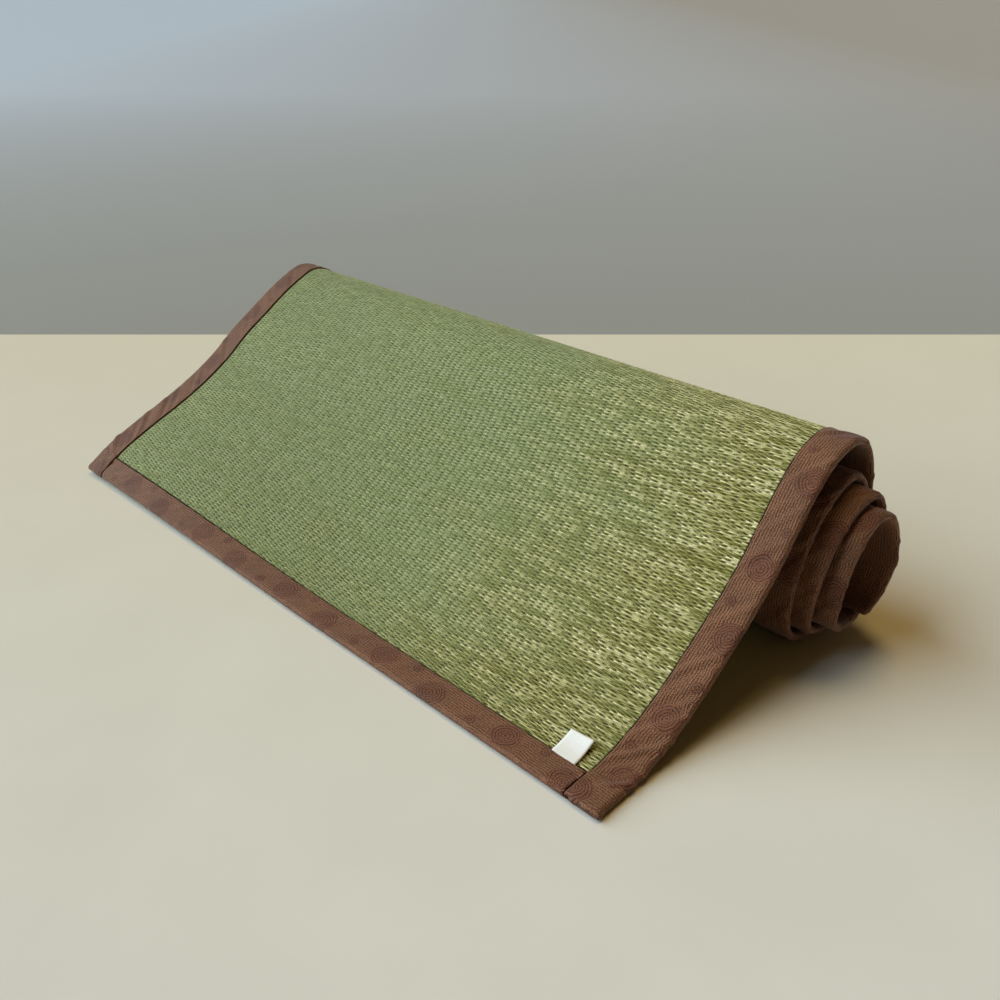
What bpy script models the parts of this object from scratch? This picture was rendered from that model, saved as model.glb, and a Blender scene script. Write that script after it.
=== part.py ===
"""A rush mat with cloth bindings, half unrolled: its outer end lies on the floor in a long ramp, and the rest
is wound into a roll whose inner turns slip out sideways, each a little further than the last.

Metres, +Z up. X runs along the roll, Y from the laid-out end towards the roll. The origin is on the floor,
under the middle of the whole mat.
"""

import math

import bmesh
import bpy
import numpy as np

# The mat and its bindings
MAT_WIDTH = 0.600
BINDING_WIDTH = 0.025
END_BINDING_WIDTH = 0.0215
PANEL_THICKNESS = 0.0036
CLOTH = 0.0007
CLEARANCE = 0.0003
EDGE_ROUNDING = 0.0012

HALF_PANEL = PANEL_THICKNESS / 2
HALF_CHANNEL = HALF_PANEL + CLEARANCE
HALF_MAT = HALF_CHANNEL + CLOTH

# The small woven label, sewn in at the edge of the front binding
LABEL_FROM_EDGE = 0.0365
LABEL_WIDTH = 0.0165
LABEL_LENGTH = 0.0215
LABEL_THICKNESS = 0.0006
LABEL_LIFT_NEAR = 0.0036
LABEL_LIFT_FAR = 0.0014
LABEL_CURL = 1.5  # power of the share of its length: 1 is a straight slope
LABEL_STEPS = 4

# How finely the faces follow the curves
STEPS_PER_FLAP_ROW = 4
STEPS_PER_QUARTER = 7
LIFTED_COLUMNS = 14
FINE_STEPS = 40

# The ramp, front edge to crest, on the middle of the mat's thickness: the near side sags into an S and the
# far side stays nearly straight.
FLAP = (
    # near_y, near_z, far_y, far_z
    (0.0000, HALF_MAT, 0.0020, 0.0036),
    (0.0270, HALF_MAT, 0.0240, 0.0180),
    (0.0620, 0.0100, 0.0570, 0.0335),
    (0.0920, 0.0240, 0.0880, 0.0460),
    (0.1200, 0.0415, 0.1180, 0.0600),
    (0.1470, 0.0600, 0.1450, 0.0760),
    (0.1700, 0.0790, 0.1690, 0.0940),
    (0.1890, 0.0990, 0.1930, 0.1090),
    (0.2080, 0.1190, 0.2140, 0.1220),
    (0.2290, 0.1340, 0.2340, 0.1325),
    (0.2545, 0.1395, 0.2545, 0.1395),
)
LIFTED_FROM = 0.4  # share of the width, from the near side, past which the ramp turns to the far side's

# The roll, also on the middle of the thickness. Each row is where a turn runs level or upright, and an
# ellipse's quarter joins it to the next. slip is how far the turn's near edge stands out sideways.
ROLL = (
    # y, z, slip
    (0.2545, 0.1395, -0.0046),  # outer turn: crest
    (0.3006, 0.0679, -0.0064),  # back
    (0.2560, HALF_MAT, -0.0054),  # where it meets the floor
    (0.2407, HALF_MAT, -0.0034),  # and leaves it
    (0.1953, 0.0380, -0.0017),  # second turn: front
    (0.2568, 0.1149, -0.0018),  # crest
    (0.2901, 0.0530, -0.0007),  # back
    (0.2520, 0.0094, 0.0041),  # bottom
    (0.2023, 0.0390, 0.0097),  # third turn: front
    (0.2570, 0.1069, 0.0137),  # crest
    (0.2830, 0.0540, 0.0152),  # back
    (0.2519, 0.0160, 0.0180),  # bottom
    (0.2142, 0.0380, 0.0215),  # inner turn: front
    (0.2503, 0.0989, 0.0255),  # crest
    (0.2764, 0.0550, 0.0291),  # back
    (0.2515, 0.0226, 0.0240),  # inner end
)
ROLL_Y, ROLL_Z, ROLL_SLIP = (np.array(column) for column in zip(*ROLL))

MIDDLE_X = (ROLL_SLIP.max() + ROLL_SLIP.min()) / 2
MIDDLE_Y = (ROLL_Y.max() + HALF_MAT) / 2


def smooth_step(x):
    """0 below 0, 1 above 1, and level at both."""
    x = np.clip(x, 0, 1)
    return x * x * (3 - 2 * x)


def hermite(rows, first_tangent, last_tangent, steps):
    """A smooth line through the rows, whose other tangents run along the chord between each row's neighbours."""
    tangents = np.gradient(rows, axis=0)
    tangents[0], tangents[-1] = first_tangent, last_tangent
    line = [rows[:1]]
    for a, b, ta, tb in zip(rows[:-1], rows[1:], tangents[:-1], tangents[1:]):
        u = np.linspace(0, 1, steps + 1)[1:, None]
        from_a, from_b = 2 * u**3 - 3 * u**2 + 1, 3 * u**2 - 2 * u**3
        line.append(a * from_a + b * from_b + ta * (u**3 - 2 * u**2 + u) + tb * (u**3 - u**2))
    return np.concatenate(line)


def ramp(across, steps):
    """The ramp's line at one place across the mat: a straight lip as wide as the binding, then a curve that
    leaves it smoothly and is level at the crest."""
    near, far = np.array(FLAP)[:, :2], np.array(FLAP)[:, 2:]
    lifted = LIFTED_FROM * MAT_WIDTH
    share = smooth_step((across - lifted) / (MAT_WIDTH - BINDING_WIDTH - lifted))
    rows = near + (far - near) * share
    lip = rows[0] + (rows[1] - rows[0]) * np.linspace(0, 1, steps + 1)[:-1, None]
    last = np.array([rows[-1, 0] - rows[-2, 0], 0.0])
    return np.concatenate([lip, hermite(rows[1:], rows[1] - rows[0], last, steps)])


def quarter(k, steps):
    """From one row of ROLL to the next. Even turns of the quarter start level and odd ones start upright;
    the stretch on the floor is straight."""
    y0, z0, y1, z1 = ROLL_Y[k], ROLL_Z[k], ROLL_Y[k + 1], ROLL_Z[k + 1]
    u = np.linspace(0, 1, steps + 1)[1:]
    if z0 == z1:
        return np.stack([y0 + (y1 - y0) * u, np.full(steps, z0)], -1)
    level = (k if k < 3 else k - 1) % 2 == 0
    turn = u * math.pi / 2
    out, down = np.sin(turn), 1 - np.cos(turn)
    if level:
        return np.stack([y0 + (y1 - y0) * out, z0 + (z1 - z0) * down], -1)
    return np.stack([y0 + (y1 - y0) * down, z0 + (z1 - z0) * out], -1)


def line_across(across, flap_steps, quarter_steps):
    """The whole line of the mat at one place across it, and how far it has slipped sideways at each point."""
    flap = ramp(across, flap_steps)
    turns = [quarter(k, quarter_steps) for k in range(len(ROLL) - 1)]
    line = np.concatenate([flap, *turns])
    at_rows = len(flap) - 1 + quarter_steps * np.arange(len(ROLL))
    slip = np.interp(np.arange(len(line)), [0, *at_rows], [0, *ROLL_SLIP])
    return line, slip


def lengths_along(line):
    """The length of a line up to each of its points."""
    return np.concatenate([[0], np.cumsum(np.linalg.norm(np.diff(line, axis=0), axis=1))])


class Strip:
    """The line of the mat at one place across it, read by the length from the front edge."""

    def __init__(self, across):
        self.across = across
        self.line, self.slip = line_across(across, FINE_STEPS, FINE_STEPS)
        self.along = lengths_along(self.line)
        tangent = np.gradient(self.line, self.along, axis=0)
        tangent /= np.linalg.norm(tangent, axis=1)[:, None]
        self.normal = np.stack([-tangent[:, 1], tangent[:, 0]], -1)
        self.stations = self.exact_stations()

    def exact_stations(self):
        """Lengths at which the fine line passes each step of the faces, so that every turn's level and upright
        points are corners, and one more where the inner end's binding starts."""
        flap_rows = (len(FLAP) - 1) * FINE_STEPS
        flap = np.linspace(0, flap_rows, (len(FLAP) - 1) * STEPS_PER_FLAP_ROW + 1)
        quarters = len(ROLL) - 1
        turns = flap_rows + np.linspace(0, quarters * FINE_STEPS, quarters * STEPS_PER_QUARTER + 1)[1:]
        stations = np.interp(np.concatenate([flap, turns]), np.arange(len(self.along)), self.along)
        return np.sort(np.append(stations, self.along[-1] - END_BINDING_WIDTH))

    def points(self, along, outward):
        """Points in the row frame, this far from the front edge and this far out of the mat's middle."""
        y, z, ny, nz, slip = (
            np.interp(along, self.along, column)
            for column in (*self.line.T, *self.normal.T, self.slip)
        )
        x = MAT_WIDTH / 2 - self.across + slip - MIDDLE_X
        return np.stack([x, y + ny * outward - MIDDLE_Y, z + nz * outward], -1)


def loft(name, rings, partners, material):
    """A closed solid through rings of points. partners gives, for the first points of a ring, the point across
    the thickness, and each cap is built from one pair to the next, so that it can't bridge a fold."""
    around = rings.shape[1]
    mesh = bmesh.new()
    corners = [[mesh.verts.new(point) for point in ring] for ring in rings]
    for ring, after in zip(corners[:-1], corners[1:]):
        for k in range(around):
            following = (k + 1) % around
            mesh.faces.new((ring[k], ring[following], after[following], after[k]))
    for k in range(len(partners) - 1):
        cap = dict.fromkeys((k, k + 1, partners[k + 1], partners[k]))
        mesh.faces.new([corners[0][j] for j in reversed(cap)])
        mesh.faces.new([corners[-1][j] for j in cap])
    bmesh.ops.triangulate(mesh, faces=mesh.faces)
    bmesh.ops.recalc_face_normals(mesh, faces=mesh.faces)
    data = bpy.data.meshes.new(name)
    mesh.to_mesh(data)
    mesh.free()
    data.shade_smooth()
    data.set_sharp_from_angle(angle=math.radians(35))
    data.materials.append(material)
    piece = bpy.data.objects.new(name, data)
    bpy.context.scene.collection.objects.link(piece)
    return piece


def finish(name, colour, roughness):
    """A plain material of the piece's colour."""
    material = bpy.data.materials.new(name)
    material.use_nodes = True
    shader = material.node_tree.nodes["Principled BSDF"]
    shader.inputs["Base Color"].default_value = (*colour, 1)
    shader.inputs["Roughness"].default_value = roughness
    shader.inputs["Metallic"].default_value = 0
    return material


def columns_between():
    """Places across the mat between the side bindings: one stretch where the ramp doesn't change, and even
    steps where it turns to the far side's."""
    beside = BINDING_WIDTH + CLEARANCE
    lifted = np.linspace(LIFTED_FROM * MAT_WIDTH, MAT_WIDTH - beside, LIFTED_COLUMNS + 1)
    return (beside, *lifted)


def woven_panel(material):
    """The rush panel: one sheet from the front edge to the inner end, its edges hidden in the bindings."""
    edge = CLOTH + CLEARANCE
    sides = []
    for across in (edge, *columns_between(), MAT_WIDTH - edge):
        strip = Strip(across)
        along = strip.stations.copy()
        along[0], along[-1] = edge, along[-1] - edge
        sides.append([strip.points(along, HALF_PANEL), strip.points(along, -HALF_PANEL)])
    sides = np.array(sides)
    rings = np.concatenate([sides[:, 0], sides[::-1, 1]]).transpose(1, 0, 2)
    partners = [2 * len(sides) - 1 - k for k in range(len(sides))]
    return loft("rush_panel", rings, partners, material)


def channel(depths):
    """A folded binding's outline as (distance in from the edge, distance out of the mat's middle): round the
    outside with its edges eased, and back along the inside of the fold. Also each outside point's partner on
    the inside, across the cloth's thickness."""
    inward = np.array([EDGE_ROUNDING, *depths])
    inside = np.array([CLOTH, *depths])
    eased = HALF_MAT - EDGE_ROUNDING
    top = [(d, HALF_MAT) for d in inward[::-1]]
    bottom = [(d, -HALF_MAT) for d in inward]
    inner = [(d, -HALF_CHANNEL) for d in inside[::-1]] + [(d, HALF_CHANNEL) for d in inside]
    last, n = 4 * len(inward) + 1, len(inward)
    partners = [*range(last, last - n, -1), last + 1 - n, last - n, *range(last - n, last - 2 * n, -1)]
    return np.array(top + [(0, eased), (0, -eased)] + bottom + inner), partners


def side_binding(name, far_side, material):
    """A strip of cloth folded over one long edge, from the front edge to the inner end."""
    outline, partners = channel([BINDING_WIDTH])
    rows = []
    for inward, outward in outline:
        strip = Strip(MAT_WIDTH - inward if far_side else inward)
        rows.append(strip.points(strip.stations, outward))
    return loft(name, np.array(rows).transpose(1, 0, 2), partners, material)


def end_binding(name, inner_end, material):
    """A strip folded over one short edge, between the side bindings. Its faces turn where the panel's do, and
    the roll runs straight from side to side, so at the inner end it needs no ring on the way."""
    strip = Strip(0)
    stations = (strip.along[-1] - strip.stations)[::-1] if inner_end else strip.stations
    on_the_way = (stations > EDGE_ROUNDING) & (stations < END_BINDING_WIDTH - CLEARANCE)
    outline, partners = channel([*stations[on_the_way], END_BINDING_WIDTH])
    rings = []
    for across in columns_between()[:: LIFTED_COLUMNS + 1 if inner_end else 1]:
        strip = Strip(across)
        along = strip.along[-1] - outline[:, 0] if inner_end else outline[:, 0]
        rings.append(strip.points(along, outline[:, 1]))
    return loft(name, np.array(rings), partners, material)


def woven_label(material):
    """The woven label: sewn in at the front binding's edge and lying on the rushes, its free end lifting a
    little and its near edge more."""
    rings = []
    for share in np.linspace(0, 1, LABEL_STEPS + 1):
        along = END_BINDING_WIDTH + CLEARANCE + LABEL_LENGTH * share
        ring = []
        for side, lift, height in (
            (0, LABEL_LIFT_NEAR, 0),
            (1, LABEL_LIFT_FAR, 0),
            (1, LABEL_LIFT_FAR, LABEL_THICKNESS),
            (0, LABEL_LIFT_NEAR, LABEL_THICKNESS),
        ):
            strip = Strip(LABEL_FROM_EDGE + LABEL_WIDTH * side)
            ring.append(strip.points(along, HALF_CHANNEL + lift * share**LABEL_CURL + height))
        rings.append(ring)
    return loft("woven_label", np.array(rings), [3, 2], material)


def main():
    for thing in list(bpy.data.objects):
        bpy.data.objects.remove(thing)
    rush = finish("rush", (0.33, 0.36, 0.13), 0.55)
    brown_cloth = finish("brown_cloth", (0.16, 0.07, 0.045), 0.7)
    white_tape = finish("white_tape", (0.85, 0.85, 0.83), 0.5)
    woven_panel(rush)
    side_binding("binding_near", False, brown_cloth)
    side_binding("binding_far", True, brown_cloth)
    end_binding("binding_front", False, brown_cloth)
    end_binding("binding_inner_end", True, brown_cloth)
    woven_label(white_tape)


main()
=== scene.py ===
# %% [markdown]
# # A rush mat, half unrolled
#
# The object is a thin mat of woven rushes with a brown cloth binding folded over its edges. One end lies
# on the floor and climbs in a long ramp to a loose roll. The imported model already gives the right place
# and size, so this script only makes the surfaces: the woven rushes, the ribbed cloth and the small white
# label. It works in metres, and every sheet is a grid of points worked out with numpy.

# %% The frame
import math

import bpy
import mathutils
import numpy as np
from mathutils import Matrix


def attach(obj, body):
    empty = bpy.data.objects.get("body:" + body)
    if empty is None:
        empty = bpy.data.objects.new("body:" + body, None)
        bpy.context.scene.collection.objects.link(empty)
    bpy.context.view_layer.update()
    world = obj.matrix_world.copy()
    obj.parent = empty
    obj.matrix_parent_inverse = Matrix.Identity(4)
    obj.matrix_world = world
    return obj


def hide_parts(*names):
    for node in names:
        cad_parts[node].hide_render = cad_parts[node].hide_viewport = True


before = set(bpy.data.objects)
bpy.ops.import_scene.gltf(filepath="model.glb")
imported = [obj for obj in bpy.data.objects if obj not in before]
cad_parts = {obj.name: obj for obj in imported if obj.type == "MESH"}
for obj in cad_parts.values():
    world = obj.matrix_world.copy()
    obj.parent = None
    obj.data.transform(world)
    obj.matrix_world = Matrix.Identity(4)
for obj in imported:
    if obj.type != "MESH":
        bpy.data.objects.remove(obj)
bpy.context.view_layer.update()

# %% [markdown]
# ## The line that the mat follows
#
# Seen from its end, the mat is one long line: a ramp and then a spiral. The ramp could be modelled by hand
# or settled by a cloth simulation. A simulation would move the mat off its place, so the line is drawn
# from two short tables instead. The ramp differs at the near and far side, and every point of it runs
# straight from one to the other. The spiral is the same all across, and an ellipse's quarter joins each
# row to the next.

# %% Sizes of the mat
MM = 0.001
MAT_WIDTH = 600 * MM
BINDING_WIDTH = 25 * MM
END_BINDING_WIDTH = 21.5 * MM
HALF_PANEL = 1.8 * MM
CLEARANCE = 0.3 * MM
CLOTH = 0.7 * MM
HALF_MAT = HALF_PANEL + CLEARANCE + CLOTH
LIFTED_FROM = 240 * MM

# near_y, near_z, far_y, far_z in millimetres, from the front edge to the crest
RAMP = np.array([
    (0.0, 2.8, 2.0, 3.6),
    (27.0, 2.8, 24.0, 18.0),
    (62.0, 10.0, 57.0, 33.5),
    (92.0, 24.0, 88.0, 46.0),
    (120.0, 41.5, 118.0, 60.0),
    (147.0, 60.0, 145.0, 76.0),
    (170.0, 79.0, 169.0, 94.0),
    (189.0, 99.0, 193.0, 109.0),
    (208.0, 119.0, 214.0, 122.0),
    (229.0, 134.0, 234.0, 132.5),
    (254.5, 139.5, 254.5, 139.5),
]) * MM

# y, z, slip in millimetres, where each turn runs level or upright. slip is how far it has moved sideways
ROLL = np.array([
    (254.5, 139.5, -4.6),  # outer turn: crest
    (300.6, 67.9, -6.4),  # back
    (256.0, 2.8, -5.4),  # meets the floor
    (240.7, 2.8, -3.4),  # leaves the floor
    (195.3, 38.0, -1.7),  # second turn: front
    (256.8, 114.9, -1.8),  # crest
    (290.1, 53.0, -0.7),  # back
    (252.0, 9.4, 4.1),  # bottom
    (202.3, 39.0, 9.7),  # third turn: front
    (257.0, 106.9, 13.7),  # crest
    (283.0, 54.0, 15.2),  # back
    (251.9, 16.0, 18.0),  # bottom
    (214.2, 38.0, 21.5),  # inner turn: front
    (250.3, 98.9, 25.5),  # crest
    (276.4, 55.0, 29.1),  # back
    (251.5, 22.6, 24.0),  # inner end
]) * MM

MIDDLE_X = (ROLL[:, 2].max() + ROLL[:, 2].min()) / 2
MIDDLE_Y = (ROLL[:, 0].max() + HALF_MAT) / 2
STEPS = 40  # fine steps between two rows of a table
thickness = round(2 * HALF_MAT / MM, 1)
print("the mat is", round(MAT_WIDTH / MM), "mm wide and, at its binding,", thickness, "mm thick")

# %% The ramp's line and the spiral's line
def ramp_line(rows):
    """A smooth line through the rows of the ramp. Its first stretch is straight, its last point is level,
    and in between each tangent runs along the chord between a row's neighbours."""
    tangents = np.gradient(rows[1:], axis=0)
    tangents[0] = rows[1] - rows[0]
    tangents[-1] = (rows[-1, 0] - rows[-2, 0], 0)
    a, b = rows[1:-1, None], rows[2:, None]
    ta, tb = tangents[:-1, None], tangents[1:, None]
    u = np.linspace(0, 1, STEPS + 1)[1:][None, :, None]
    from_a, from_b = 2 * u**3 - 3 * u**2 + 1, 3 * u**2 - 2 * u**3
    curved = a * from_a + b * from_b + ta * (u**3 - 2 * u**2 + u) + tb * (u**3 - u**2)
    lip = rows[0] + (rows[1] - rows[0]) * np.linspace(0, 1, STEPS + 1)[:, None]
    return np.concatenate([lip, curved.reshape(-1, 2)])


def spiral_line():
    """Quarters of ellipses from row to row. Those that start level follow (sin, 1 - cos) of the turn,
    those that start upright follow (1 - cos, sin), and the stretch on the floor is straight."""
    pieces = []
    for k, (start, end) in enumerate(zip(ROLL[:-1, :2], ROLL[1:, :2])):
        u = np.linspace(0, 1, STEPS + 1)[1:]
        quick, slow = np.sin(u * math.pi / 2), 1 - np.cos(u * math.pi / 2)
        starts_level = (k if k < 3 else k - 1) % 2 == 0
        share = np.stack([quick, slow] if starts_level else [slow, quick], -1)
        if start[1] == end[1]:
            share = np.stack([u, u], -1)
        pieces.append(start + (end - start) * share)
    return np.concatenate(pieces)


NEAR_LINE = np.concatenate([ramp_line(RAMP[:, :2]), spiral_line()])
FAR_LINE = np.concatenate([ramp_line(RAMP[:, 2:]), spiral_line()])
RAMP_POINTS = (len(RAMP) - 1) * STEPS
SLIP = np.interp(
    np.arange(len(NEAR_LINE)),
    [0, *(RAMP_POINTS + STEPS * np.arange(len(ROLL)))],
    [0, *ROLL[:, 2]],
)


def lengths_along(line):
    """The length of a line up to each of its points."""
    return np.concatenate([[0], np.cumsum(np.linalg.norm(np.diff(line, axis=0), axis=1))])


NEAR_LENGTH = lengths_along(NEAR_LINE)

# %% [markdown]
# ## From flat cloth to place
#
# Every piece below is first drawn as flat cloth: so far across the mat, so far along it, and so far out of
# its middle. One function bends all of that into place, which keeps the weave, the ribs and the seams in
# step with the folds. The same two flat measures become the piece's UV map, in metres, so a pattern has
# its real size.

# %% Bending flat cloth onto the mat
def smooth_step(x):
    """0 below 0, 1 above 1, and level at both."""
    x = np.clip(x, 0, 1)
    return x * x * (3 - 2 * x)


def place(across, along, outward):
    """Points of the mat for whole arrays of places on flat cloth. The line at a place across is the near
    line plus a share of the way to the far one, and outward runs along that line's normal."""
    at = np.interp(along, NEAR_LENGTH, np.arange(len(NEAR_LINE)))
    share = smooth_step((across - LIFTED_FROM) / (MAT_WIDTH - BINDING_WIDTH - LIFTED_FROM))[..., None]

    def read(near, far):
        index = np.arange(len(near))
        a = np.stack([np.interp(at, index, near[:, k]) for k in (0, 1)], -1)
        b = np.stack([np.interp(at, index, far[:, k]) for k in (0, 1)], -1)
        return a + (b - a) * share

    spot = read(NEAR_LINE, FAR_LINE)
    tangent = read(np.gradient(NEAR_LINE, axis=0), np.gradient(FAR_LINE, axis=0))
    tangent /= np.linalg.norm(tangent, axis=-1, keepdims=True)
    y = spot[..., 0] - tangent[..., 1] * outward - MIDDLE_Y
    z = np.maximum(spot[..., 1] + tangent[..., 0] * outward, 0)  # the floor presses slack cloth flat
    x = MAT_WIDTH / 2 - across + np.interp(at, np.arange(len(SLIP)), SLIP) - MIDDLE_X
    return np.stack([x, y, z], -1)


def volume_inside(mesh):
    """The sum over all triangles of a sixth of the triple product of their corners, a . (b x c). It is
    above 0 where the faces look outwards."""
    mesh.calc_loop_triangles()
    numbers = np.empty(len(mesh.loop_triangles) * 3, dtype=np.int32)
    mesh.loop_triangles.foreach_get("vertices", numbers)
    spots = np.empty(len(mesh.vertices) * 3)
    mesh.vertices.foreach_get("co", spots)
    a, b, c = spots.reshape(-1, 3)[numbers.reshape(-1, 3)].transpose(1, 0, 2)
    return float((a * np.cross(b, c)).sum() / 6)


def make_piece(name, points, faces, flat, material):
    """A mesh object from an array of points and groups of faces. flat holds each point's place on the flat
    cloth in metres and becomes the UV map."""
    mesh = bpy.data.meshes.new(name)
    mesh.from_pydata(points, [], [face for group in faces for face in group])
    if volume_inside(mesh) < 0:
        mesh.flip_normals()
    corner = np.empty(len(mesh.loops), dtype=np.int32)
    mesh.loops.foreach_get("vertex_index", corner)
    flat_map = mesh.uv_layers.new(name="flat_cloth")
    flat_map.data.foreach_set("uv", flat[corner].astype(np.float32).ravel())
    mesh.shade_smooth()
    mesh.materials.append(material)
    piece = bpy.data.objects.new(name, mesh)
    bpy.context.scene.collection.objects.link(piece)
    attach(piece, "root")
    triangles = sum(len(face.vertices) - 2 for face in mesh.polygons)
    print(name, "has", len(mesh.vertices), "points and", triangles, "triangles")
    return piece


def grid_faces(rows, columns, first=0, closed=False):
    """Four-cornered faces between neighbouring points of a grid numbered row by row. A closed grid joins
    its last column to its first."""
    numbers = first + np.arange(rows * columns).reshape(rows, columns)
    after = np.roll(numbers, -1, axis=1)
    span = columns if closed else columns - 1
    faces = np.stack([numbers[:-1], after[:-1], after[1:], numbers[1:]], -1)[:, :span]
    return faces.reshape(-1, 4).tolist()

# %% [markdown]
# ## Colours and nodes
#
# A finish is a small graph of nodes. Each colour below was chosen as an sRGB hex value and is
# turned into the linear numbers that the shader works with. One helper adds a node with its settings and
# its links, so that a graph reads like a list of steps.

# %% Helpers for the finishes
TURN = 2 * math.pi


def linear(colour):
    """An sRGB hex colour as linear red, green, blue and an alpha of 1."""
    parts = np.array([int(colour[k:k + 2], 16) for k in (1, 3, 5)]) / 255
    parts = np.where(parts <= 0.04045, parts / 12.92, ((parts + 0.055) / 1.055) ** 2.4)
    return (*(float(part) for part in parts), 1.0)


def add(tree, kind, inputs=None, **settings):
    """Adds a node. settings are its properties. inputs gives its sockets by name or number: a number or a
    colour is set on the socket, and a node or one of its outputs is linked to it."""
    node = tree.nodes.new(kind)
    for name, value in settings.items():
        setattr(node, name, value)
    for name, value in (inputs or {}).items():
        if isinstance(value, bpy.types.Node):
            value = value.outputs[0]
        if isinstance(value, bpy.types.NodeSocket):
            tree.links.new(value, node.inputs[name])
        else:
            node.inputs[name].default_value = value
    return node


def calc(tree, operation, *values, **settings):
    """A sum with one to three values. MULTIPLY_ADD is the first times the second, plus the third."""
    return add(tree, "ShaderNodeMath", dict(enumerate(values)), operation=operation, **settings)


def ranged(tree, value, low, high, at_low=0.0, at_high=1.0, smooth=False):
    """at_low where the value is low, at_high where it is high, and a straight or smooth step in
    between."""
    kind = "SMOOTHSTEP" if smooth else "LINEAR"
    sockets = {0: value, 1: low, 2: high, 3: at_low, 4: at_high}
    return add(tree, "ShaderNodeMapRange", sockets, interpolation_type=kind)


def mixed(tree, share, first, second, blend="MIX"):
    """The first colour where share is 0 and the second where it is 1, or their product with MULTIPLY."""
    return add(tree, "ShaderNodeMixRGB", {0: share, 1: first, 2: second}, blend_type=blend)


def joined(tree, *parts):
    """A vector from two numbers or three."""
    return add(tree, "ShaderNodeCombineXYZ", dict(enumerate(parts)))


def flat_noise(tree, spot, steps, detail):
    """Noise over the flat cloth. spot is a pair of measures in metres, and steps is how many lumps of
    noise go to a metre of each."""
    scaled = [calc(tree, "MULTIPLY", measure, count) for measure, count in zip(spot, steps)]
    sockets = {"Vector": joined(tree, *scaled), "Scale": 1.0, "Detail": detail}
    return add(tree, "ShaderNodeTexNoise", sockets, noise_dimensions="2D")


def own_number(tree, *numbers):
    """A chance number between 0 and 1 that is the same wherever both whole numbers are the same."""
    return add(tree, "ShaderNodeTexWhiteNoise", {"Vector": joined(tree, *numbers)}, noise_dimensions="2D")


def new_material(name):
    """A material with its node tree and its shader."""
    material = bpy.data.materials.new(name)
    material.use_nodes = True
    return material, material.node_tree, material.node_tree.nodes["Principled BSDF"]

# %% [markdown]
# ## The woven rushes
#
# The face of the mat is a plain weave of split rushes over hidden warp threads. Each rush shows as a float
# about 6 mm long, dips under for 6 mm, and its neighbours do the same half a step later. Seen flat, that
# is a checkerboard of long lenses: the product of one wave across the mat and one along it. Near the
# right-hand edge the floats drift sideways from row to row, so slower waves shift the first one there.
#
# A picture of a weave could be wrapped on instead. A formula is better here, because numpy can raise the
# real surface with it and the nodes can colour it with the very same waves.

# %% The weave as a formula
FLOAT_REPEAT = 12 * MM  # one rush up and down again, across the mat
ROW_PITCH = 1.25 * MM  # one rush to the next, along the mat
DRIFT_REPEAT = 21 * MM  # the slow drift, along the mat
DRIFT_SWAY = 130 * MM  # how far across before the slow drift sways back
SWAY_REACH = 2.1
RIPPLE_REPEAT = 8.7 * MM  # the quick drift, along the mat
RIPPLE_LEAN = 90 * MM
RIPPLE_SHARE = 0.7
DRIFT_NEAR, DRIFT_FAR = 30 * MM, 150 * MM  # the drift fades from one to the other
DRIFT_LEAST, DRIFT_EXTRA = 0.3, 1.5
WEAVE_RELIEF = 0.3 * MM


def weave_height(across, along):
    """cos of the place across, shifted by the drift, times cos of the place along. It is 1 on the middle
    of a float and -1 where the rush is down."""
    slow = np.sin(along * TURN / DRIFT_REPEAT + SWAY_REACH * np.sin(across * TURN / DRIFT_SWAY))
    quick = np.sin(along * TURN / RIPPLE_REPEAT + across * TURN / RIPPLE_LEAN)
    nearness = 1 - smooth_step((across - DRIFT_NEAR) / (DRIFT_FAR - DRIFT_NEAR))
    drift = (DRIFT_LEAST + DRIFT_EXTRA * nearness) * (slow + RIPPLE_SHARE * quick)
    return np.cos(across * TURN / FLOAT_REPEAT + drift) * np.cos(along * math.pi / ROW_PITCH)

# %% The same formula as nodes
rush_weave, tree, shader = new_material("woven_rush")
flat_place = add(tree, "ShaderNodeSeparateXYZ", {0: add(tree, "ShaderNodeUVMap", uv_map="flat_cloth")})
u, v = flat_place.outputs[0], flat_place.outputs[1]
sway = calc(tree, "SINE", calc(tree, "MULTIPLY", u, TURN / DRIFT_SWAY))
slow_turn = calc(tree, "MULTIPLY", v, TURN / DRIFT_REPEAT)
slow = calc(tree, "SINE", calc(tree, "MULTIPLY_ADD", sway, SWAY_REACH, slow_turn))
ripple_lean = calc(tree, "MULTIPLY", u, TURN / RIPPLE_LEAN)
quick = calc(tree, "SINE", calc(tree, "MULTIPLY_ADD", v, TURN / RIPPLE_REPEAT, ripple_lean))
both = calc(tree, "MULTIPLY_ADD", quick, RIPPLE_SHARE, slow)
nearness = ranged(tree, u, DRIFT_NEAR, DRIFT_FAR, 1.0, 0.0, smooth=True)
reach = calc(tree, "MULTIPLY_ADD", nearness, DRIFT_EXTRA, DRIFT_LEAST)
drift = calc(tree, "MULTIPLY", both, reach)
side = calc(tree, "MULTIPLY_ADD", u, TURN / FLOAT_REPEAT, drift)
row = calc(tree, "MULTIPLY", v, 1 / ROW_PITCH)
row_wave = calc(tree, "COSINE", calc(tree, "MULTIPLY", row, math.pi))
lens = calc(tree, "MULTIPLY", calc(tree, "COSINE", side), row_wave)
ridge = calc(tree, "ABSOLUTE", row_wave)
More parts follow.
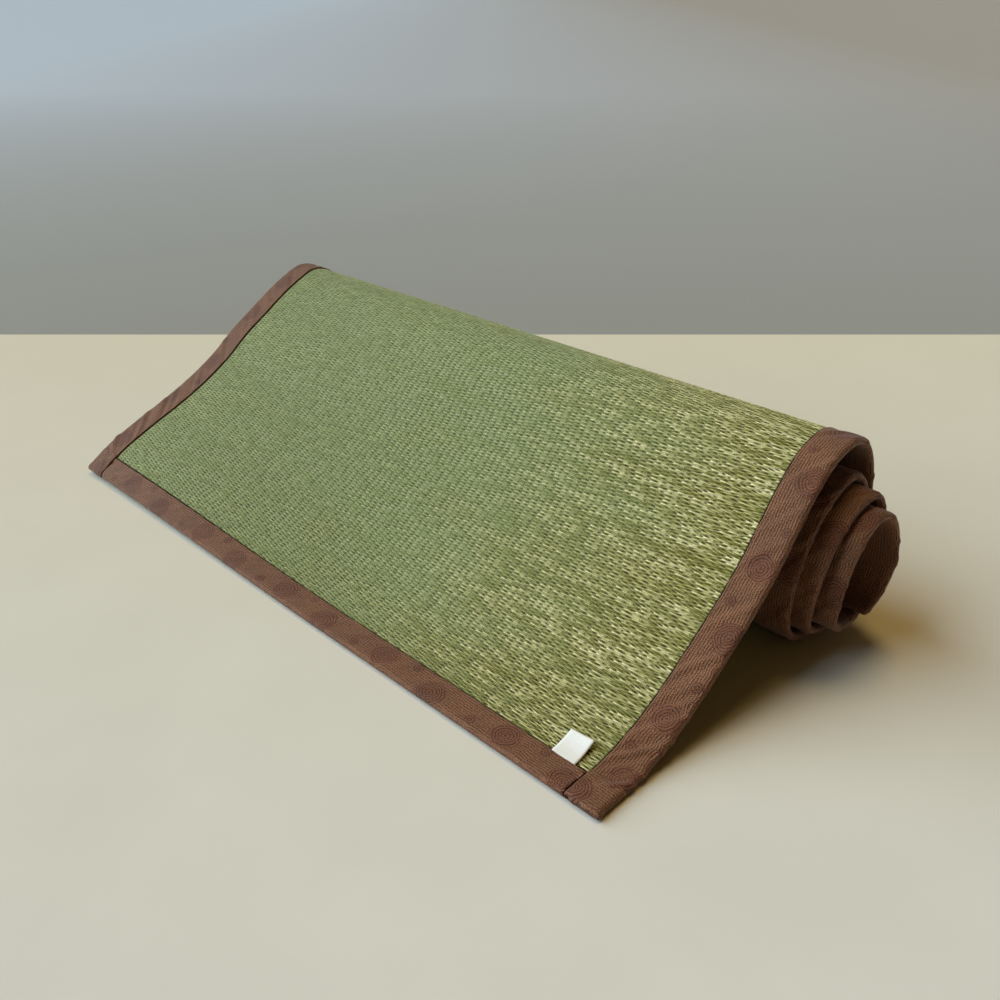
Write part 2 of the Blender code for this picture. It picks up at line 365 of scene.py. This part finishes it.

# %% [markdown]
# Rushes are a natural stalk: each has its own green or straw colour and fine lines along it. So every
# float gets a number of its own, from its row and its place in the row, and that number picks its tone.
# The gaps between floats are deep, and their shade is painted into them as a dark tone. The near side is
# painted a yellower green than the rest: painted warm light.

# %% The colour of the rushes
WARM_LIGHT_TO = 300 * MM  # the painted warm light, a yellower green, fades out by here
row_number = calc(tree, "ROUND", row)
half_step = calc(tree, "MULTIPLY", calc(tree, "FLOORED_MODULO", row_number, 2.0), -0.5)
place_in_row = calc(tree, "MULTIPLY_ADD", side, 1 / TURN, half_step)
tone = own_number(tree, row_number, calc(tree, "ROUND", place_in_row))
gap_size = own_number(tree, row_number, calc(tree, "FLOOR", place_in_row))
stalk = add(tree, "ShaderNodeTexWhiteNoise", {"W": row_number}, noise_dimensions="1D")
fibres = flat_noise(tree, (u, v), (60.0, 2400.0), 2.0)
patches = flat_noise(tree, (u, v), (14.0, 34.0), 3.0)

# green far away and yellower near by, in uneven patches: painted warm light on the near side
near_warm_light_share = ranged(tree, u, 0.0, WARM_LIGHT_TO, 1.0, 0.0, smooth=True)
yellow_patches = calc(tree, "MULTIPLY_ADD", patches, 0.7, -0.35)
yellow_share = calc(tree, "ADD", near_warm_light_share, yellow_patches, use_clamp=True)
mid_tone = mixed(tree, yellow_share, linear("#97a369"), linear("#7c7a34"))
light_tone = mixed(tree, yellow_share, linear("#c3cc98"), linear("#ece59a"))
# the dark tone in the gaps between floats is painted shade
painted_gap_shade = mixed(tree, yellow_share, linear("#495229"), linear("#2e2406"))

# each float from dull to light by its own tone, and a painted highlight on its crown
own_tone = calc(tree, "MULTIPLY_ADD", stalk, 0.2, calc(tree, "MULTIPLY", tone, 0.75))
crown_highlight = ranged(tree, lens, -0.4, 0.8, -0.45, 0.4)
own_tone = calc(tree, "ADD", own_tone, crown_highlight, use_clamp=True)
rush_colour = mixed(tree, own_tone, mid_tone, light_tone)

# near by, about one float in four has dried to pale straw, and whole stalks do it together
straw_tone = add(tree, "ShaderNodeMix", {0: 0.4, 2: tone, 3: stalk})
straw = calc(tree, "MULTIPLY", ranged(tree, straw_tone, 0.54, 0.8, 0.0, 0.9), near_warm_light_share)
rush_colour = mixed(tree, straw, rush_colour, linear("#fbf4b8"))

# fine lines along the stalk, painted shade in the crease between rows, and painted shade in the gap where
# the rush is down
fine_lines = ranged(tree, fibres, 0.3, 0.7, 0.8, 1.12)
rush_colour = mixed(tree, 1.0, rush_colour, fine_lines, blend="MULTIPLY")
crease_shade = ranged(tree, ridge, 0.0, 0.6, 0.6, 1.0, smooth=True)
rush_colour = mixed(tree, 1.0, rush_colour, crease_shade, blend="MULTIPLY")
open_lens = calc(tree, "MULTIPLY_ADD", gap_size, -0.45, lens)
openness = ranged(tree, open_lens, -0.65, -1.15, smooth=True)
rush_colour = mixed(tree, openness, rush_colour, painted_gap_shade)

# %% [markdown]
# The stitches pull the rushes down beside the binding, and what is under the binding lies in the dark. So
# the distance to the nearest binding, the least of three differences, darkens a line about a millimetre
# wide, partly the stitches and partly painted shade, and paints all under the binding with shade.

# %% The painted shade beside the bindings, and the relief
from_near = calc(tree, "SUBTRACT", u, BINDING_WIDTH)
from_far = calc(tree, "SUBTRACT", MAT_WIDTH - BINDING_WIDTH, u)
from_front = calc(tree, "SUBTRACT", v, END_BINDING_WIDTH)
from_binding = calc(tree, "MINIMUM", calc(tree, "MINIMUM", from_near, from_far), from_front)
seam_unshaded_share = ranged(tree, from_binding, 0.5 * MM, 2.0 * MM, smooth=True)
# dark brown painted shade at the seam and under the bindings
rush_colour = mixed(tree, seam_unshaded_share, linear("#20130a"), rush_colour)

relief = calc(tree, "MULTIPLY_ADD", fibres, 0.15, lens)
relief = calc(tree, "MULTIPLY_ADD", ridge, 0.6, relief)
bump = add(tree, "ShaderNodeBump", {"Strength": 0.9, "Distance": 0.8 * MM, "Height": relief})
shader.inputs["Roughness"].default_value = 0.52  # a dry stalk with a waxy skin: a soft, broad shine
shader.inputs["Specular IOR Level"].default_value = 0.15
tree.links.new(rush_colour.outputs[0], shader.inputs["Base Color"])
tree.links.new(bump.outputs[0], shader.inputs["Normal"])
print("the rush finish has", len(tree.nodes), "nodes")

# %% [markdown]
# The upper face of the ramp is a fine grid that the formula raises and lowers, two points to each row and
# two or four to each float. Past the crest, where the mat is wound up, the rows are as far apart as the
# bends allow, and the nodes alone draw the weave. The under face is coarse. Faces with many corners join
# its rim to the fine one, so that the sheet is one closed skin.

# %% Making the rush sheet
RIM = 1.3 * MM  # the sheet ends this far inside the bindings' folds
FINE_FROM, FINE_TO = 20 * MM, 330 * MM
FULL_COLUMNS_TO = 340 * MM  # four columns to a float up to here, and two beyond
BEND_STEPS = 8  # rows to each quarter of a turn
COARSE_COLUMNS, COARSE_ROWS = 9, 8


def evenly(start, end, step):
    """Places from start to end that are whole steps from zero, so that they fall on the waves' own
    crests."""
    return np.arange(math.ceil(start / step), math.floor(end / step) + 1) * step


def every(values, step):
    """Every so many of the places, always with the last one."""
    return np.append(values[:-1:step], values[-1])


beside = BINDING_WIDTH - 2 * MM
columns = np.concatenate([
    [RIM],
    evenly(beside, FULL_COLUMNS_TO, FLOAT_REPEAT / 4),
    evenly(FULL_COLUMNS_TO + MM, MAT_WIDTH - beside, FLOAT_REPEAT / 2),
    [MAT_WIDTH - RIM],
])
bends = NEAR_LENGTH[RAMP_POINTS::STEPS // BEND_STEPS]
bends = bends[bends > FINE_TO + 3 * MM][:-1]
fine_rows = evenly(FINE_FROM, FINE_TO, ROW_PITCH / 2)
rows = np.concatenate([[RIM], fine_rows, bends, [NEAR_LENGTH[-1] - 3 * RIM]])
print("the upper face has", len(rows), "rows and", len(columns), "columns")

across, along = np.meshgrid(columns, rows)
worked = smooth_step((along - FINE_FROM) / (2 * MM)) * smooth_step((FINE_TO - along) / (5 * MM))
upper = place(across, along, HALF_PANEL + WEAVE_RELIEF * (weave_height(across, along) - 0.3) * worked)
on_ramp = rows <= FINE_TO
low_columns = np.concatenate([columns[:1], every(columns[1:-1], COARSE_COLUMNS), columns[-1:]])
low_rows = np.concatenate([every(rows[on_ramp], COARSE_ROWS), rows[~on_ramp]])
low_across, low_along = np.meshgrid(low_columns, low_rows)
lower = place(low_across, low_along, np.full(low_across.shape, -HALF_PANEL))

# %% Closing the rim
def rim_faces(fine, coarse, fine_places, coarse_places):
    """The rim between two lines of point numbers: one face with many corners to each step of the coarse
    line."""
    cuts = np.searchsorted(fine_places, coarse_places - 1e-9).tolist()
    steps = zip(cuts[:-1], cuts[1:], coarse[:-1].tolist(), coarse[1:].tolist())
    return [[*fine[a:b + 1].tolist(), after, before] for a, b, before, after in steps]


def turned(faces):
    """The same faces seen from their other side."""
    return [face[::-1] for face in faces]


top = np.arange(across.size).reshape(across.shape)
low = across.size + np.arange(low_across.size).reshape(low_across.shape)
rush_sheet = make_piece(
    "rush_sheet",
    np.concatenate([upper.reshape(-1, 3), lower.reshape(-1, 3)]),
    [
        turned(grid_faces(*across.shape)),
        grid_faces(*low_across.shape, first=across.size),
        turned(rim_faces(top[:, 0], low[:, 0], rows, low_rows)),
        rim_faces(top[:, -1], low[:, -1], rows, low_rows),
        rim_faces(top[0], low[0], columns, low_columns),
        turned(rim_faces(top[-1], low[-1], columns, low_columns)),
    ],
    np.concatenate([
        np.stack([across, along], -1).reshape(-1, 2),
        np.stack([low_across, low_along], -1).reshape(-1, 2),
    ]),
    rush_weave,
)
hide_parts("rush_panel")

# %% [markdown]
# ## The brown binding cloth
#
# The edges are bound with a brown cloth whose fine ribs run along the strip. Here and there the ribs bend
# round a set of rings, an ordinary motif for such a binding. The nodes work in the strip's own flat
# measures: how far along it, and how far in from its edge. A rib is a wave over the second, a ring is a
# wave over the distance from its middle, and a mask picks one of the two. The rings repeat every 112 mm,
# two large and two small.

# %% The ribs and rings as nodes
RIB_PITCH = 1.9 * MM
RING_PITCH = 1.9 * MM
RING_REPEAT = 112 * MM
# along the strip, in from its edge, radius
RINGS = np.array([(30, 7, 11.5), (53, 19, 4), (80, 12, 11), (106, 7, 4)]) * MM
RING_EDGE = 2.2 * MM  # a ring fades out over this much, and its ribs end half way
RIB_WANDER, RING_WANDER = 5.0, 3.5 * MM  # how far the noise bends the ribs, as a turn, and the rings

brown_cloth, tree, shader = new_material("ribbed_brown_cloth")
strip_map = add(tree, "ShaderNodeUVMap", uv_map="flat_cloth")
strip_place = add(tree, "ShaderNodeSeparateXYZ", {0: strip_map})
s, t = strip_place.outputs[0], strip_place.outputs[1]
wander = flat_noise(tree, (s, t), (90.0, 60.0), 1.0)
phase = calc(tree, "MULTIPLY_ADD", wander, RIB_WANDER, calc(tree, "MULTIPLY", t, TURN / RIB_PITCH))
spot = joined(tree, calc(tree, "FLOORED_MODULO", s, RING_REPEAT), t)
ring_share = 0.0
for ring_s, ring_t, radius in RINGS.tolist():
    distance = add(tree, "ShaderNodeVectorMath", {0: spot, 1: (ring_s, ring_t, 0.0)}, operation="DISTANCE")
    uneven = calc(tree, "MULTIPLY_ADD", wander, RING_WANDER, distance.outputs["Value"])
    inside = ranged(tree, uneven, radius + RING_EDGE, radius)
    ring_turn = calc(tree, "MULTIPLY", uneven, TURN / RING_PITCH)
    phase = add(tree, "ShaderNodeMix", {0: calc(tree, "GREATER_THAN", inside, 0.5), 2: phase, 3: ring_turn})
    ring_share = calc(tree, "MAXIMUM", ring_share, inside)
rib = calc(tree, "COSINE", phase)

# %% [markdown]
# The real cloth has about 20 threads to the centimetre. That is too fine to show here, so the cross
# threads are drawn about 0.7 mm long. They break each rib into small dashes. The rings are woven the other
# way up, so they look a little darker and redder.

# %% The colour of the binding cloth
dashes = flat_noise(tree, (s, t), (1500.0, 1100.0), 1.0)
cloth_patches = add(tree, "ShaderNodeTexNoise", {"Vector": strip_map, "Scale": 45.0, "Detail": 3.0})
# the colour runs from dark in the grooves between ribs to light on their tops: painted shade; the cross
# threads' dashes are the cloth's own
rib_height = ranged(tree, rib, -1.0, 1.0, 0.22, 0.78)
dash_share = ranged(tree, dashes, 0.3, 0.7, -0.5, 0.5)
thread_and_groove_shade_tone = calc(tree, "ADD", rib_height, dash_share, use_clamp=True)
field_colour = mixed(tree, thread_and_groove_shade_tone, linear("#371c10"), linear("#9b6845"))
ring_colour = mixed(tree, thread_and_groove_shade_tone, linear("#31160c"), linear("#8b5537"))
cloth_colour = mixed(tree, ring_share, field_colour, ring_colour)
worn = ranged(tree, cloth_patches, 0.35, 0.65, 0.86, 1.08)
cloth_colour = mixed(tree, 1.0, cloth_colour, worn, blend="MULTIPLY")
cloth_relief = calc(tree, "MULTIPLY_ADD", dashes, 0.5, rib_height)
cloth_bump = add(tree, "ShaderNodeBump", {"Strength": 0.9, "Distance": 0.35 * MM, "Height": cloth_relief})
shader.inputs["Roughness"].default_value = 0.72  # matt spun thread with a slight sheen on the rib tops
shader.inputs["Specular IOR Level"].default_value = 0.3
shader.inputs["Sheen Weight"].default_value = 0.15
tree.links.new(cloth_colour.outputs[0], shader.inputs["Base Color"])
tree.links.new(cloth_bump.outputs[0], shader.inputs["Normal"])
print("the binding's finish has", len(tree.nodes), "nodes")

# %% [markdown]
# ## Folding the bindings
#
# Each binding is one strip folded over an edge. Its outline goes in from the edge on top, round a soft
# fold, and back underneath, and a second line inside closes it. The fold was sewn by hand at speed, so its
# edge is wavy and the cloth puckers beside the seam. A sum of a few sine waves whose lengths don't share a
# beat gives that without any chance in it.

# %% The outline of a fold and its ends
FOLD_DEPTH = 3.6 * MM  # how far in from the edge the cloth still curves
TOP_STEP = 1.6 * MM  # between points across the strip
SLIT = 1.3 * MM  # between a side strip and the end strip that butts against it
INNER_POINTS = 6  # on the line inside a folded strip's outline
SEWN_FLAT = 3 * MM  # beside the seam the cloth cannot rise
LOWEST_DIP = -0.6  # in millimetres: a deeper one would reach the rushes
PUCKER_WAVES = ((9.3, 1.3, 0.26), (13.7, 2.9, 0.36), (21.1, 4.1, 0.3), (37.3, 5.3, 0.26))  # mm, start, share
SLACK_AT = np.array([0, 35, 85, 150, 290, 330]) * MM
SLACK = [0.8, 1.9, 1.7, 0.7, 0.6, 1.2]


def puckers(length, seed):
    """Between about -1 and 1: the sum of the sine waves, each started by the seed."""
    turns = [(share, length * TURN / (wave * MM) + seed * start) for wave, start, share in PUCKER_WAVES]
    return sum(share * np.sin(turn) for share, turn in turns)


def slackness(length):
    """How much a side strip puckers: most beside the front corner, little on the ramp, and again in the
    roll."""
    return np.interp(length, SLACK_AT, SLACK)


def fold_outline(width):
    """(in from the edge, out of the mat's middle, how far the point is round the cloth from its edge). The
    outer line runs from the seam on top round half an ellipse to the seam below, and the inner line runs
    back."""
    flat = np.linspace(width - 0.9 * MM, FOLD_DEPTH, round(width / TOP_STEP))
    turn = np.linspace(90, -90, 9)[1:-1] * math.pi / 180
    seam = np.array([width, width - 0.15 * MM, width - 0.45 * MM])
    drop = np.array([HALF_PANEL + 0.35 * MM, HALF_MAT - 0.35 * MM, HALF_MAT - 0.08 * MM])
    inward = np.concatenate([seam, flat, FOLD_DEPTH * (1 - np.cos(turn)), flat[::-1], seam[::-1]])
    level = np.full(len(flat), HALF_MAT)
    outward = np.concatenate([drop, level, HALF_MAT * np.sin(turn), -level, -drop[::-1]])
    round_cloth = np.concatenate([[0], np.cumsum(np.hypot(np.diff(inward), np.diff(outward)))])
    round_cloth = round_cloth[-1] / 2 - round_cloth
    below = [(width, -1), (2.2 * MM, -1), (0.95 * MM, -0.86)]
    inner = np.array(below + [(place_in, -height) for place_in, height in below[::-1]])
    inward = np.append(inward, inner[:, 0])
    outward = np.append(outward, inner[:, 1] * (HALF_PANEL + 0.2 * MM))
    return inward, outward, np.append(round_cloth, inner[:, 0] * np.sign(inner[:, 1]))


def end_caps(count, around):
    """Faces that close both ends of a folded strip: each joins two neighbouring points of its outer line
    to the inner points across the cloth from them."""
    outer_count = around - INNER_POINTS
    middle = outer_count // 2
    turns_at = [1, middle - 4, middle, middle + 4, outer_count - 1]
    across_from = (around - 1 - np.searchsorted(turns_at, np.arange(outer_count), side="right")).tolist()
    pairs = zip(range(outer_count - 1), across_from[:-1], across_from[1:])
    first = [list(dict.fromkeys((before, after, k + 1, k))) for k, before, after in pairs]
    return first + [[(count - 1) * around + number for number in cap[::-1]] for cap in first]

# %% Making the bindings
def make_strip(name, points, flat, node=None):
    """A folded strip of cloth, for a grid of points whose rows run round the fold."""
    count, around = points.shape[:2]
    faces = [grid_faces(count, around, closed=True), end_caps(count, around)]
    piece = make_piece(name, points.reshape(-1, 3), faces, flat.reshape(-1, 2), brown_cloth)
    if node:
        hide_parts(node)
    return piece


def bind(name, node, spots, width, seed, to_place, shift=0.0, wave=0.6 * MM, slack=0.35, closes_at=None):
    """A folded strip. spots are the places along it, and to_place turns (place along, in from the edge,
    outward) into points. The edge moves in and out by wave times the puckers, fading to none at the seam,
    and the top rises and falls with them, times slack. Where the strip closes, outward shrinks by half an
    ellipse."""
    inward, outward, round_cloth = fold_outline(width)
    length, inward = np.meshgrid(spots, inward, indexing="ij")
    outward = np.broadcast_to(outward, inward.shape).copy()
    outer = np.arange(inward.shape[1]) < inward.shape[1] - INNER_POINTS
    near_edge = 1 - smooth_step(inward / (0.7 * width))
    ripple = puckers(length, seed) * slack
    swell = puckers(length * 0.8 + inward * 0.9, seed + 2.0) * slack
    on_top = smooth_step((width - inward) / SEWN_FLAT) * (outward > 0) * outer
    lift = np.maximum(0.8 * swell - 0.1, LOWEST_DIP) * MM * on_top
    seam_wave = 0.35 * MM * puckers(length * 0.7, seed + 4.0) * (1 - near_edge)
    moved_in = inward + (wave * (ripple + 0.6) * near_edge + seam_wave) * outer
    closing = 1.0
    if closes_at is not None:
        closing = 0.05 + 0.95 * np.sqrt(1 - (1 - np.clip((closes_at - length) / FOLD_DEPTH, 0, 1)) ** 2)
    points = to_place(length, moved_in, (outward + lift) * closing)
    flat = np.stack([length + shift, np.broadcast_to(round_cloth, length.shape)], -1)
    return make_strip(name, points, flat, node)


def near_side(length, inward, outward):
    """The near long edge: in from it is across the mat."""
    return place(inward, length, outward)


def far_side(length, inward, outward):
    """The far long edge: in from it is back across the mat."""
    return place(MAT_WIDTH - inward, length, outward)


def front_end(length, inward, outward):
    """The laid-out end: in from it is along the mat."""
    return place(length, inward, outward)


def inner_end(length, inward, outward):
    """The end inside the roll: in from it is back along the mat."""
    return place(length, NEAR_LENGTH[-1] - inward, outward)


FINE_SPOTS_TO = 340 * MM
side_spots = np.concatenate([
    np.arange(BINDING_WIDTH - 5 * MM, FINE_SPOTS_TO, 1.6 * MM),
    np.linspace(FINE_SPOTS_TO, NEAR_LENGTH[-1], 380),
])
side_slack = slackness(side_spots)[:, None]
end_spots = np.linspace(BINDING_WIDTH + SLIT, MAT_WIDTH - BINDING_WIDTH - SLIT, 342)
near_binding = bind("near_binding", "binding_near", side_spots, BINDING_WIDTH, 1.0, near_side,
                    wave=0.9 * MM, slack=side_slack, closes_at=NEAR_LENGTH[-1])
far_binding = bind("far_binding", "binding_far", side_spots, BINDING_WIDTH, 2.0, far_side,
                   shift=40 * MM, slack=0.6 * side_slack, closes_at=NEAR_LENGTH[-1])
front_binding = bind("front_binding", "binding_front", end_spots, END_BINDING_WIDTH, 3.0, front_end)
inner_binding = bind("inner_binding", "binding_inner_end", end_spots[::2], END_BINDING_WIDTH, 4.0, inner_end)

# %% [markdown]
# ## Corners and label
#
# At both front corners the side strip's end is folded over the front strip. Its ribs turn there and run
# along the front edge, and its cut edge leaves a dark line across the binding: a slit whose rushes are
# painted with shade. Each corner is a short fold of its own, a little thicker than the strips, whose front
# end closes in a soft round.

# %% Folding the corners
CORNER = 25 * MM
CORNER_END = CORNER + 0.3 * MM
CORNER_SPOTS = np.linspace(0, CORNER_END, 27)


def corner(name, from_side, shift):
    """A fold round the side edge that also closes at the front: near the front edge, outward shrinks by
    half an ellipse and the cloth draws in. The map has its ribs along the front edge."""
    inward, outward, round_cloth = fold_outline(CORNER + 0.2 * MM)
    length, inward = np.meshgrid(CORNER_SPOTS, inward, indexing="ij")
    outer = np.arange(inward.shape[1]) < inward.shape[1] - INNER_POINTS
    front = np.sqrt(np.clip(1 - (1 - np.clip(length / FOLD_DEPTH, 0, 1)) ** 2, 0, 1))
    fold_end = smooth_step((CORNER_END - length) / (2.5 * MM))
    swell = puckers(inward + 0.6 * length, 3.7)
    raised = (0.6 * MM + 0.3 * MM * swell) * (outward > 0) * outer * (0.15 + 0.85 * fold_end)
    at_side, at_front = 1 - smooth_step(inward / (8 * MM)), 1 - smooth_step(length / (6 * MM))
    drawn_in = inward + 0.5 * MM * (puckers(length * 1.3, 5.5) + 0.8) * at_side * outer
    forward = length + 0.5 * MM * puckers(inward * 1.4, 4.0) * at_front * outer
    closing = np.where(outer, 0.12 + 0.88 * front, 0.06 + 0.84 * front)
    points = from_side(forward, drawn_in, (outward + raised) * closing)
    flat = np.stack([np.broadcast_to(round_cloth, length.shape) + shift, length], -1)
    return make_strip(name, points, flat)


near_corner = corner("near_corner", near_side, 5 * MM)
far_corner = corner("far_corner", far_side, 6 * MM)

# %% [markdown]
# The label is a short piece of woven tape, sewn in under the front strip's edge. It is left bare. One side
# lifts more than the other, which gives it a shadow.

# %% Making the label
white_tape, tree, shader = new_material("white_woven_tape")
tape_place = add(tree, "ShaderNodeUVMap", uv_map="flat_cloth")
tape_map = add(tree, "ShaderNodeMapping", {0: tape_place, "Scale": (2 / MM, 1.2 / MM, 1.0)})
tape_threads = add(tree, "ShaderNodeTexNoise", {"Vector": tape_map, "Scale": 1.0, "Detail": 1.0},
                   noise_dimensions="2D")
tape_tone = ranged(tree, tape_threads, 0.3, 0.7)
tape_colour = mixed(tree, tape_tone, linear("#e9e9e5"), linear("#f8f8f5"))
tape_bump = add(tree, "ShaderNodeBump", {"Strength": 0.4, "Distance": 0.08 * MM, "Height": tape_threads})
shader.inputs["Roughness"].default_value = 0.5  # smooth satin threads
shader.inputs["Sheen Weight"].default_value = 0.1
tree.links.new(tape_colour.outputs[0], shader.inputs["Base Color"])
tree.links.new(tape_bump.outputs[0], shader.inputs["Normal"])

LABEL_SIDE, LABEL_WIDTH, LABEL_LENGTH, LABEL_SLANT = 34.5 * MM, 18 * MM, 20 * MM, 1 * MM
LIFT_NEAR, LIFT_FAR = 3.6 * MM, 1.4 * MM  # of the label's two free corners
EDGE_SKIN, MIDDLE_SKIN = 0.12 * MM, 0.3 * MM  # half the tape's thickness
share_across, share_along = np.meshgrid(np.linspace(0, 1, 15), np.linspace(0, 1, 19))
label_across = LABEL_SIDE + LABEL_WIDTH * share_across + LABEL_SLANT * share_along
label_along = END_BINDING_WIDTH - MM + (LABEL_LENGTH + MM) * share_along
lift = (LIFT_NEAR + (LIFT_FAR - LIFT_NEAR) * share_across) * share_along**1.5
skin = np.where((share_across % 1 == 0) | (share_along == 1), EDGE_SKIN, MIDDLE_SKIN)
middle = HALF_PANEL + 0.6 * MM + lift
upper = place(label_across, label_along, middle + skin)
lower = place(label_across, label_along, middle - skin)
count, around = share_across.shape
under = count * around
numbers = np.arange(under).reshape(count, around)
edge = np.concatenate([numbers[0, :-1], numbers[:-1, -1], numbers[-1, :0:-1], numbers[:0:-1, 0]])
after = np.roll(edge, -1)
edge_faces = np.stack([edge, edge + under, after + under, after], -1).tolist()
label = make_piece(
    "label",
    np.concatenate([upper.reshape(-1, 3), lower.reshape(-1, 3)]),
    [turned(grid_faces(count, around)), grid_faces(count, around, first=under), turned(edge_faces)],
    np.tile(np.stack([label_across, label_along], -1).reshape(-1, 2), (2, 1)),
    white_tape,
)
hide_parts("woven_label")

# %% [markdown]
# ## Floor, light and camera
#
# The mat stands on a plain pale floor. A room's wall behind it would hide it in the other views, so the
# floor just turns a greyer tone beyond a straight line: the dot product of a place with the line's
# direction says on which side of it the place is.

# %% The floor
FLOOR_HALF = 14.0
WALL_LINE = 0.487  # how far back the greyer tone starts
BACK, RIGHT = (-0.699, 0.715, 0.0), (0.715, 0.699, 0.0)  # level directions, as the camera sees them
floor_paint, tree, shader = new_material("pale_floor")
floor_place = add(tree, "ShaderNodeTexCoord").outputs["Object"]
grain = add(tree, "ShaderNodeTexNoise", {"Vector": floor_place, "Scale": 9.0, "Detail": 4.0})
paint = mixed(tree, ranged(tree, grain, 0.3, 0.7), linear("#dcdbd5"), linear("#e2e1db"))
back, right = [
    add(tree, "ShaderNodeVectorMath", {0: floor_place, 1: way}, operation="DOT_PRODUCT").outputs["Value"]
    for way in (BACK, RIGHT)
]
# warmer towards the back: painted warm light
paint = mixed(tree, ranged(tree, back, -0.6, WALL_LINE, 0.0, 0.7), paint, linear("#e2d9bd"))
# beyond the line the grey is lighter and bluer to the left, darker and warmer to the right: painted window
# light from the left
far_grey = mixed(tree, ranged(tree, right, -2.0, 2.0), linear("#c3d1e2"), linear("#a8a39c"))
grey = mixed(tree, ranged(tree, back, WALL_LINE, 3.0), linear("#9b9d99"), far_grey)
paint = mixed(tree, ranged(tree, back, WALL_LINE, WALL_LINE + 4 * MM), paint, grey)
shader.inputs["Roughness"].default_value = 0.6
shader.inputs["Specular IOR Level"].default_value = 0.2
tree.links.new(paint.outputs[0], shader.inputs["Base Color"])
floor_mesh = bpy.data.meshes.new("floor")
floor_corners = [(-FLOOR_HALF, -FLOOR_HALF, 0), (FLOOR_HALF, -FLOOR_HALF, 0),
                 (FLOOR_HALF, FLOOR_HALF, 0), (-FLOOR_HALF, FLOOR_HALF, 0)]
floor_mesh.from_pydata(floor_corners, [], [(0, 1, 2, 3)])
floor_mesh.materials.append(floor_paint)
floor = bpy.data.objects.new("floor", floor_mesh)
bpy.context.scene.collection.objects.link(floor)

# %% [markdown]
# Views from low down would look past the floor's end into nothing. A ring of pale wall far away closes
# them. It throws no shadow and gives no light, so it changes nothing on the mat.

# %% The far wall
WALL_RADIUS, WALL_HEIGHT, WALL_STEPS = 13.5, 14.0, 64
around_wall = np.linspace(0, TURN, WALL_STEPS + 1)[:-1]
ring = np.stack([np.cos(around_wall), np.sin(around_wall), np.zeros(WALL_STEPS)], -1) * WALL_RADIUS
wall_paint, tree, shader = new_material("pale_wall")
shader.inputs["Base Color"].default_value = linear("#c9c8c4")
shader.inputs["Roughness"].default_value = 0.8
wall_mesh = bpy.data.meshes.new("far_wall")
wall_points = np.concatenate([ring, ring + (0, 0, WALL_HEIGHT)])
wall_mesh.from_pydata(wall_points, [], grid_faces(2, WALL_STEPS, closed=True))
wall_mesh.shade_smooth()
wall_mesh.materials.append(wall_paint)
wall = bpy.data.objects.new("far_wall", wall_mesh)
wall.visible_shadow = False
wall.visible_diffuse = False
bpy.context.scene.collection.objects.link(wall)

# %% [markdown]
# A window lights the mat from the left. A sun with a very wide disc stands for it, so its shadow soon
# grows soft. A weak warm lamp above keeps that shadow from going black and brightens the crest. Under the
# ramp neither gets in, and the rest of the room gives only a little warm light.

# %% Light
def wide_light(name, runs, degrees, strength, colour):
    """A sun whose disc is so many degrees wide. runs is the direction in which its light goes."""
    light = bpy.data.lights.new(name, "SUN")
    light.energy, light.angle, light.color = strength, math.radians(degrees), linear(colour)[:3]
    lamp = bpy.data.objects.new(name, light)
    lamp.rotation_euler = mathutils.Vector(runs).to_track_quat("-Z", "Y").to_euler()
    bpy.context.scene.collection.objects.link(lamp)


wide_light("window", (1.3, 0.9, -0.9), 75, 4.2, "#e0f3ff")
wide_light("warm_lamp", (0.2, -0.35, -1.0), 20, 0.8, "#ffd78a")
world = bpy.data.worlds.new("warm_room")
world.use_nodes = True
world.node_tree.nodes["Background"].inputs["Color"].default_value = linear("#d9ad56")
world.node_tree.nodes["Background"].inputs["Strength"].default_value = 0.08
bpy.context.scene.world = world
bpy.context.scene.view_settings.view_transform = "Standard"

# %% Camera
CAMERA_AT = (0.52495, -0.4694, 0.4128)  # worked out from the mat's own parallel edges in the photo
CAMERA_PITCH = math.radians(28.5)  # how far it looks down
camera = bpy.data.cameras.new("camera")
camera.lens, camera.sensor_width = 36, 36
eye = bpy.data.objects.new("camera", camera)
eye.location = CAMERA_AT
level, down = math.cos(CAMERA_PITCH), math.sin(CAMERA_PITCH)
ahead = mathutils.Vector((BACK[0] * level, BACK[1] * level, -down))
eye.rotation_euler = ahead.to_track_quat("-Z", "Y").to_euler()
bpy.context.scene.collection.objects.link(eye)
bpy.context.scene.camera = eye
